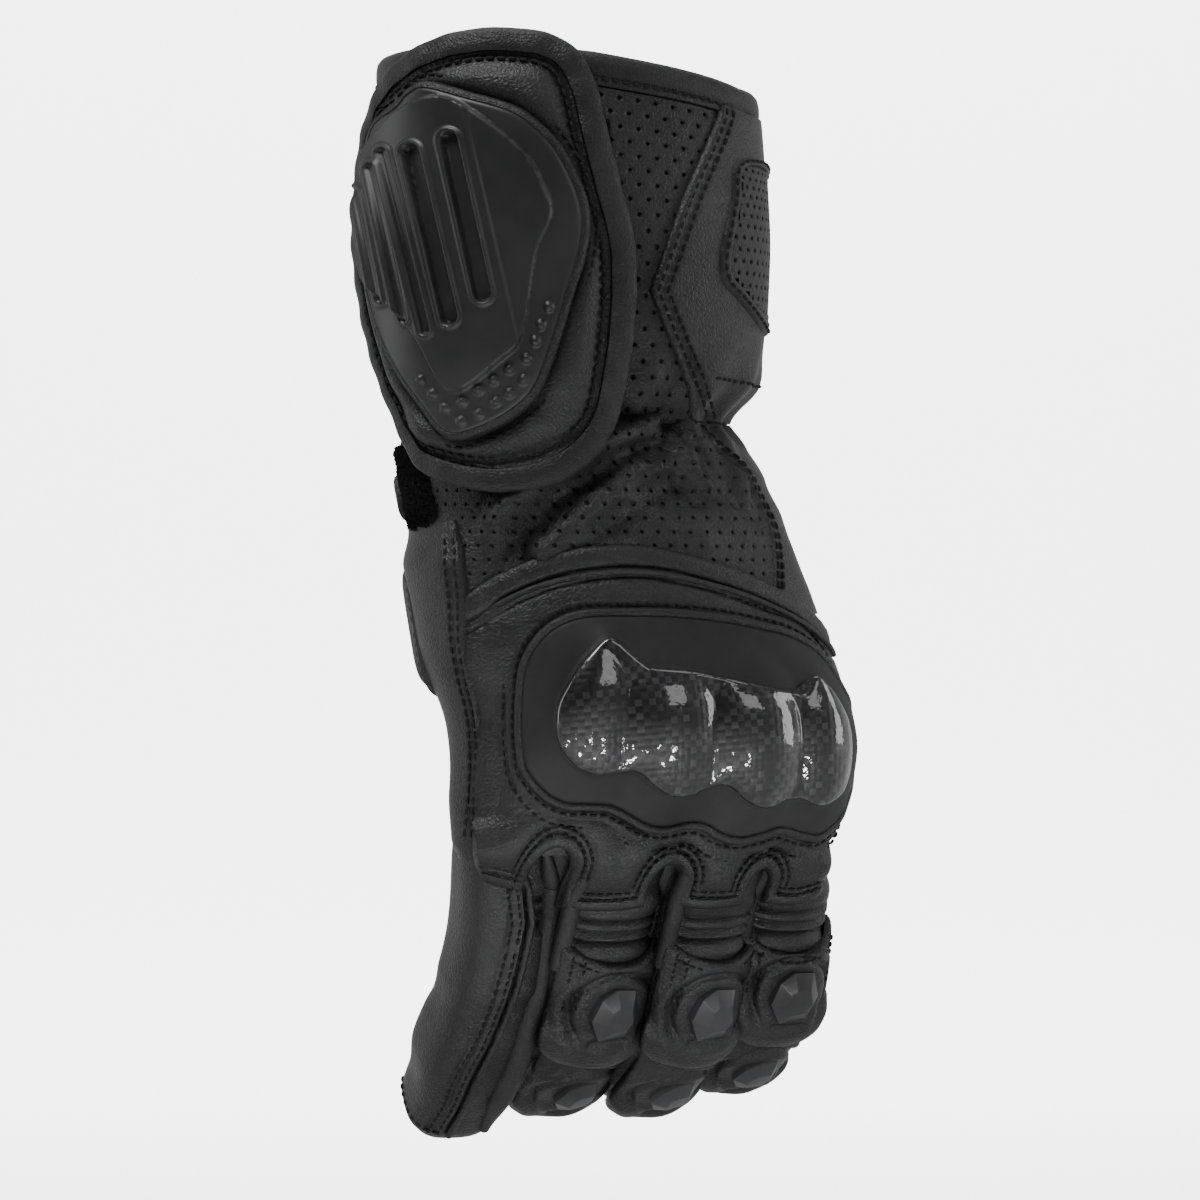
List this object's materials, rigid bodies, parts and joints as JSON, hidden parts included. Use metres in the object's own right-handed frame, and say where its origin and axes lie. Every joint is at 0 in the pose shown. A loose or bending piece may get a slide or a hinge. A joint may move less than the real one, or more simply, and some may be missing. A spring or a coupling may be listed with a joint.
{
  "type": "riding gloves",
  "caption": "Black leather gauntlet glove for the right hand, pre-curved fingers, hard knuckle guard, armoured flap closure, wrist strap and finger and palm sliders.",
  "frame": {"origin": "centre of the gauntlet's open mouth", "axes": "+Z out of the mouth, up the forearm; fingers towards -Z; -Y out of the back of the hand; +Y out of the palm; +X towards the thumb"},
  "size_m": [0.1398, 0.1156, 0.2817],
  "materials": {
    "leather": "satin grained cowhide, dyed black",
    "perforated_leather": "soft, finely perforated, dyed black",
    "rubber": "moulded, matte black",
    "shell": "clear-coated woven black fibre composite",
    "hard_plastic": "moulded, satin black",
    "hook_and_loop": "fuzzy pile",
    "lining": "knitted polyester",
    "stretch": "ribbed stretch leather",
    "foam": "soft padding"
  },
  "bodies": {
    "gauntlet": {"gauntlet_back": "perforated_leather", "gauntlet_thumb_side": "leather", "gauntlet_vent": "perforated_leather", "gauntlet_palm": "leather", "mouth_binding": "leather", "gauntlet_lining": "lining", "flap_loop_patch": "hook_and_loop", "flap_anchor": "leather"},
    "flap": {"flap_leather": "leather", "flap_binding": "leather", "flap_shield": "rubber", "flap_hook_patch": "hook_and_loop"},
    "hand": {"wrist_gather": "perforated_leather", "hand_back": "leather", "ulnar_side_panel": "leather", "palm_leather": "leather", "wrist_cover": "perforated_leather", "back_yoke": "leather", "hand_lining": "lining", "guard_base": "rubber", "guard_foam": "foam", "guard_shell": "shell", "palm_patch": "leather", "palm_slider": "hard_plastic", "strap_loop_patch": "hook_and_loop", "thumb_socket": "leather"},
    "strap": {"wrist_strap": "leather", "strap_hook_patch": "hook_and_loop"},
    "little_proximal": {"little_base": "leather", "little_knuckle_bellows": "stretch"},
    "little_middle": {"little_middle_joint": "leather", "little_bend_gussets": "stretch"},
    "little_distal": {"little_tip": "leather"},
    "ring_proximal": {"ring_base": "leather", "ring_knuckle_bellows": "stretch", "ring_cap": "leather", "ring_slider": "hard_plastic"},
    "ring_middle": {"ring_middle_joint": "leather", "ring_bend_gussets": "stretch", "ring_joint_slider": "hard_plastic"},
    "ring_distal": {"ring_tip": "leather"},
    "middle_proximal": {"middle_base": "leather", "middle_knuckle_bellows": "stretch", "middle_cap": "leather", "middle_slider": "hard_plastic"},
    "middle_middle": {"middle_middle_joint": "leather", "middle_bend_gussets": "stretch", "middle_joint_slider": "hard_plastic"},
    "middle_distal": {"middle_tip": "leather"},
    "index_proximal": {"index_base": "leather", "index_knuckle_bellows": "stretch", "index_cap": "leather", "index_slider": "hard_plastic"},
    "index_middle": {"index_middle_joint": "leather", "index_bend_gussets": "stretch", "index_joint_slider": "hard_plastic"},
    "index_distal": {"index_tip": "leather"},
    "thumb_proximal": {"thumb_base": "leather", "thumb_gussets": "stretch"},
    "thumb_distal": {"thumb_tip": "leather"}
  },
  "joints": [
    {"name": "wrist_flex", "type": "hinge", "parent": "gauntlet", "child": "hand", "pos_m": [0, -0.001, -0.092], "axis": [1, 0, 0], "range_deg": [-12, 30], "deforming": ["wrist_gather"]},
    {"name": "flap_hinge", "type": "hinge", "parent": "gauntlet", "child": "flap", "pos_m": [-0.0515, 0.0125, -0.049], "axis": [0, 0, -1], "range_deg": [0, 110]},
    {"name": "strap_hinge", "type": "hinge", "parent": "hand", "child": "strap", "pos_m": [0.0455, 0.0185, -0.109], "axis": [0, 0, -1], "range_deg": [0, 100]},
    {"name": "little_knuckle", "type": "hinge", "parent": "hand", "child": "little_proximal", "pos_m": [-0.0185, 0.001, -0.1985], "axis": [1, 0, 0], "range_deg": [-25, 30], "deforming": ["little_knuckle_bellows"]},
    {"name": "little_bend", "type": "hinge", "parent": "little_proximal", "child": "little_middle", "pos_m": [-0.0185, 0.01727, -0.23504], "axis": [1, 0, 0], "range_deg": [-25, 25], "deforming": ["little_bend_gussets"]},
    {"name": "little_tip_bend", "type": "hinge", "parent": "little_middle", "child": "little_distal", "pos_m": [-0.0185, 0.03069, -0.25494], "axis": [1, 0, 0], "range_deg": [-15, 15], "deforming": ["little_bend_gussets"]},
    {"name": "ring_knuckle", "type": "hinge", "parent": "hand", "child": "ring_proximal", "pos_m": [0.0095, -0.005, -0.203], "axis": [1, 0, 0], "range_deg": [-25, 30], "deforming": ["ring_knuckle_bellows"]},
    {"name": "ring_bend", "type": "hinge", "parent": "ring_proximal", "child": "ring_middle", "pos_m": [0.0095, 0.01951, -0.24074], "axis": [1, 0, 0], "range_deg": [-25, 25], "deforming": ["ring_bend_gussets"]},
    {"name": "ring_tip_bend", "type": "hinge", "parent": "ring_middle", "child": "ring_distal", "pos_m": [0.0095, 0.046, -0.25482], "axis": [1, 0, 0], "range_deg": [-15, 15], "deforming": ["ring_bend_gussets"]},
    {"name": "middle_knuckle", "type": "hinge", "parent": "hand", "child": "middle_proximal", "pos_m": [0.0356, -0.007, -0.203], "axis": [1, 0, 0], "range_deg": [-25, 30], "deforming": ["middle_knuckle_bellows"]},
    {"name": "middle_bend", "type": "hinge", "parent": "middle_proximal", "child": "middle_middle", "pos_m": [0.0356, 0.01805, -0.24158], "axis": [1, 0, 0], "range_deg": [-25, 25], "deforming": ["middle_bend_gussets"]},
    {"name": "middle_tip_bend", "type": "hinge", "parent": "middle_middle", "child": "middle_distal", "pos_m": [0.0356, 0.04543, -0.25613], "axis": [1, 0, 0], "range_deg": [-15, 15], "deforming": ["middle_bend_gussets"]},
    {"name": "index_knuckle", "type": "hinge", "parent": "hand", "child": "index_proximal", "pos_m": [0.0604, -0.004, -0.202], "axis": [1, 0, 0], "range_deg": [-25, 30], "deforming": ["index_knuckle_bellows"]},
    {"name": "index_bend", "type": "hinge", "parent": "index_proximal", "child": "index_middle", "pos_m": [0.0604, 0.01887, -0.23722], "axis": [1, 0, 0], "range_deg": [-25, 25], "deforming": ["index_bend_gussets"]},
    {"name": "index_tip_bend", "type": "hinge", "parent": "index_middle", "child": "index_distal", "pos_m": [0.0604, 0.04448, -0.25084], "axis": [1, 0, 0], "range_deg": [-15, 15], "deforming": ["index_bend_gussets"]},
    {"name": "thumb_swing", "type": "hinge", "parent": "hand", "child": "thumb_proximal", "pos_m": [0.05749, 0.02248, -0.15223], "axis": [0, -0.6805, -0.7328], "range_deg": [-25, 15], "deforming": ["thumb_gussets"]},
    {"name": "thumb_tip_bend", "type": "hinge", "parent": "thumb_proximal", "child": "thumb_distal", "pos_m": [0.06678, 0.04415, -0.17236], "axis": [0, -0.6805, -0.7328], "range_deg": [-30, 10], "deforming": ["thumb_gussets"]}
  ]
}
